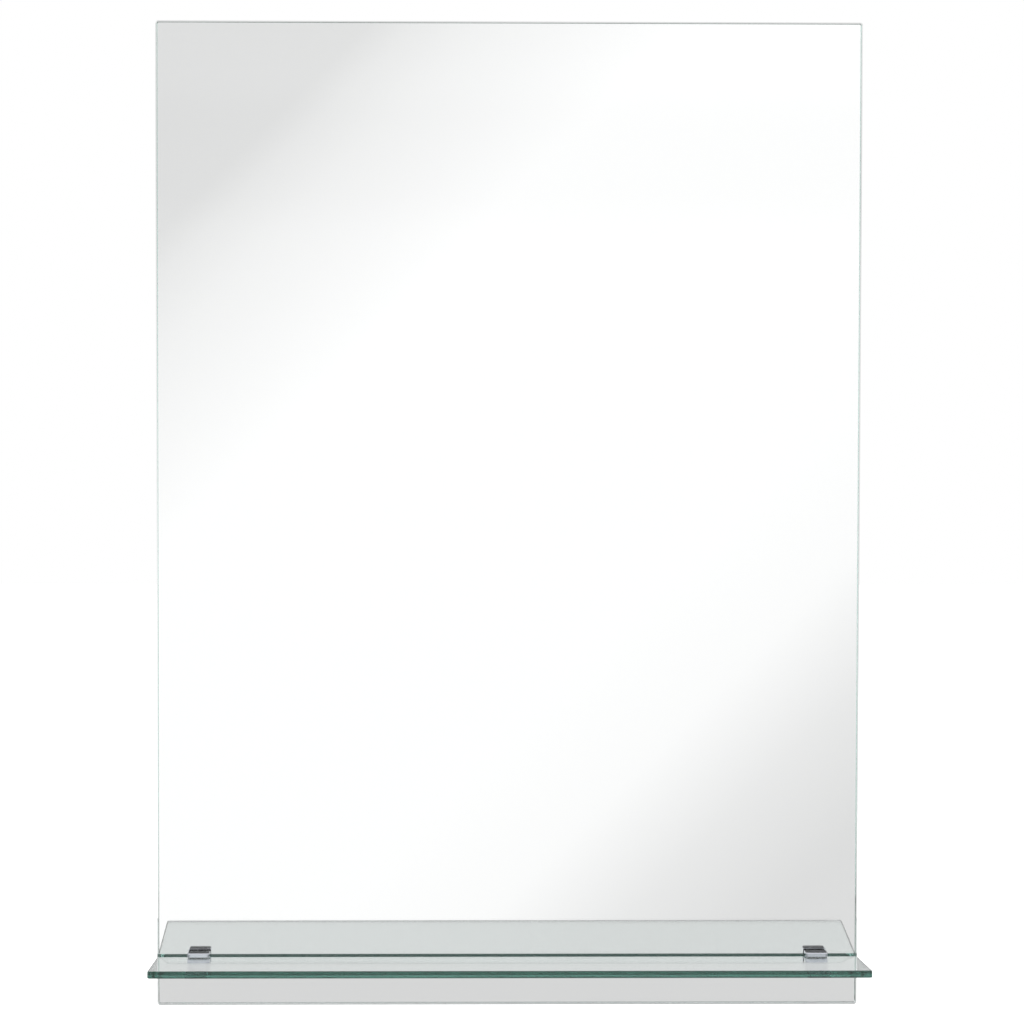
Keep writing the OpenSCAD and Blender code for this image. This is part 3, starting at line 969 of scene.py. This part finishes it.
def screw_head(under):
    """Pan head with a cross recess, on a short neck that overlaps the shank."""
    neck = under - 0.35 * MM
    top = under + HEAD_T
    head = turned([(0, neck, 0), (SCREW_R - 0.3 * MM, neck, 0), (SCREW_R - 0.1 * MM, under, 0.1 * MM),
                   (HEAD_R, under, 0.12 * MM), (HEAD_R, top, 1.35 * MM), (0, top, 0)], fillet_steps=9)
    return carved(head, [cross_wing(turn, top) for turn in (CROSS_TURN, CROSS_TURN + 90)])


def make_fixing_screw(side, material):
    """Pan-head screw with a cross recess and a threaded shank."""
    under = LAYERS_T + FLANGE_T + WASHER_T
    shank = screw_shank(GASKET_T + FIXING_DEPTH - 0.2 * MM, under)
    head = screw_head(under)
    joined = bpy.data.meshes.new("scratch")
    shank.to_mesh(joined)
    head.from_mesh(joined)
    shank.free()
    bpy.data.meshes.remove(joined)
    placed(head, at_fixing(side))
    finished(f"{side}_pan_screw", head, "mirror_unit", material,
             [f"{side}_fixing_screw"])


HANGER_X = 150 * MM
STANDOFF = 6 * MM
TAPE_T = 1 * MM
SHEET_T = 1 * MM
PLATE_SIDE = 70 * MM
PLATE_CORNER_R = 5 * MM
HAT_Z = 4 * MM
HAT_TOP_R = 16.5 * MM
HAT_BASE_R = 20.5 * MM
HAT_BEND_R = 1.4 * MM
ENTRY_R = 5 * MM
SLOT_R = 2.3 * MM
KEYHOLE_L = 9 * MM
PEG_INSET = 7 * MM
PEG_R = 2 * MM


def ring(form, outline, height):
    """Closed loop of edges through an outline, at a height; returns its edges."""
    points = [form.verts.new((point[0], point[1], height)) for point in outline]
    return [form.edges.new(pair) for pair in zip(points, points[1:] + points[:1])]


def circle_outline(x, y, radius, segments):
    steps = [2 * math.pi * step / segments for step in range(segments)]
    return [(x + radius * math.cos(angle), y + radius * math.sin(angle)) for angle in steps]


def keyhole_outline():
    """Entry hole with the slot above it, counted from the hat's middle; up is -y here."""
    neck = math.asin(SLOT_R / ENTRY_R)
    outline = []
    for step in range(41):
        angle = math.pi / 2 - (math.pi - neck) + 2 * (math.pi - neck) * step / 40
        outline.append((ENTRY_R * math.cos(angle), HAT_Z + ENTRY_R * math.sin(angle)))
    for step in range(17):
        angle = math.pi + math.pi * step / 16
        outline.append((SLOT_R * math.cos(angle), HAT_Z - KEYHOLE_L + SLOT_R * math.sin(angle)))
    return outline


def hat_wall(rise):
    """Conical wall of the raised middle, with a rounded rim at its top and its foot."""
    form = bmesh.new()
    wall = filleted([(HAT_TOP_R - 3 * MM, rise, 0), (HAT_TOP_R, rise, HAT_BEND_R),
                     (HAT_BASE_R, 0, HAT_BEND_R), (HAT_BASE_R + 2.5 * MM, 0, 0)])
    points = [form.verts.new((point.x, 0, point.y)) for point in wall]
    for first, second in zip(points, points[1:]):
        form.edges.new((first, second))
    bmesh.ops.spin(form, geom=form.verts[:] + form.edges[:], cent=(0, 0, 0), axis=(0, 0, 1),
                   dvec=(0, 0, 0), angle=2 * math.pi, steps=96, use_merge=True)
    bmesh.ops.remove_doubles(form, verts=form.verts, dist=MERGE)
    return form


def plate_rings(form):
    """The plate's outline and its four peg holes, at z = 0."""
    half = PLATE_SIDE / 2
    corners = ((-1, -1), (1, -1), (1, 1), (-1, 1))
    outlines = ring(form, filleted([(x * half, y * half, PLATE_CORNER_R) for x, y in corners], 8), 0)
    for x in (-1, 1):
        for y in (-1, 1):
            peg = circle_outline(x * (half - PEG_INSET), y * (half - PEG_INSET), PEG_R, 24)
            outlines += ring(form, peg, 0)
    return outlines


def make_hanger(side, material):
    """Pressed steel plate whose raised round middle carries the keyhole."""
    rise = STANDOFF - TAPE_T - SHEET_T
    form = hat_wall(rise)
    rims = [edge for edge in form.edges if edge.is_boundary]
    top_rim = [edge for edge in rims if edge.verts[0].co.z > rise / 2]
    base_rim = [edge for edge in rims if edge.verts[0].co.z < rise / 2]
    bmesh.ops.triangle_fill(form, edges=top_rim + ring(form, keyhole_outline(), rise), use_beauty=True)
    bmesh.ops.triangle_fill(form, edges=base_rim + plate_rings(form), use_beauty=True)
    bmesh.ops.recalc_face_normals(form, faces=form.faces)
    if sum(face.normal.z for face in form.faces) < 0:
        bmesh.ops.reverse_faces(form, faces=form.faces)
    place = Matrix.Translation((SIDES[side] * HANGER_X, TAPE_T - STANDOFF, HAT_Z)) @ WALLWARD
    placed(form, place)
    finished(f"{side}_hanger", form, "mirror_unit", material, [f"{side}_hanger_plate"],
             edge_w=0.12 * MM, sheet_t=SHEET_T)


BUMPER_R = 8 * MM


def make_bumper(side, material):
    """Soft foot: a dome with a flat end against the wall."""
    low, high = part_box(f"{side}_bumper")
    middle = (low + high) / 2
    height = high.y - low.y
    form = turned([(0, 0, 0), (BUMPER_R, 0, 0.3 * MM), (BUMPER_R - 0.3 * MM, height * 0.45, 2.2 * MM),
                   (BUMPER_R - 2.2 * MM, height, 2.2 * MM), (0, height, 0)], fillet_steps=8)
    placed(form, Matrix.Translation((middle.x, low.y, middle.z)) @ WALLWARD)
    finished(f"{side}_soft_foot", form, "mirror_unit", material, [f"{side}_bumper"])


# ---------- Putting it together ----------


def dress(node, material):
    """Gives a node of the frame its material."""
    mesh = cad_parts[node].data
    mesh.materials.clear()
    mesh.materials.append(material)


def set_render():
    """Plain colours, and enough bounces to follow light along the glass to its edges."""
    scene = bpy.context.scene
    scene.view_settings.view_transform = "Standard"
    scene.cycles.max_bounces = 80
    scene.cycles.transmission_bounces = 20
    scene.cycles.glossy_bounces = 64


def main():
    make_camera()
    set_render()
    make_world()
    make_floor()
    make_lamps()

    dress("mirror_glass", mirror_glass_material())
    dress("silver_layer", silver_material())
    dress("backing_film", film_material())
    dress("shelf_glass", shelf_glass_material())

    chrome = chrome_material()
    vinyl = vinyl_material()
    nylon = nylon_material()
    black_steel = black_steel_material()
    zinc = zinc_material()
    galvanised = galvanised_material()
    foam = foam_material()
    rubber = rubber_material()
    for side in SIDES:
        dress(f"{side}_slot_liner", vinyl)
        dress(f"{side}_clamp_gasket", vinyl)
        dress(f"{side}_hanger_tape", foam)
        make_clamp(side, chrome)
        make_set_screw(side, black_steel)
        make_pad(side, nylon)
        make_sleeve(side, nylon)
        make_washer(side, zinc)
        make_fixing_screw(side, zinc)
        make_hanger(side, galvanised)
        make_bumper(side, rubber)


main()
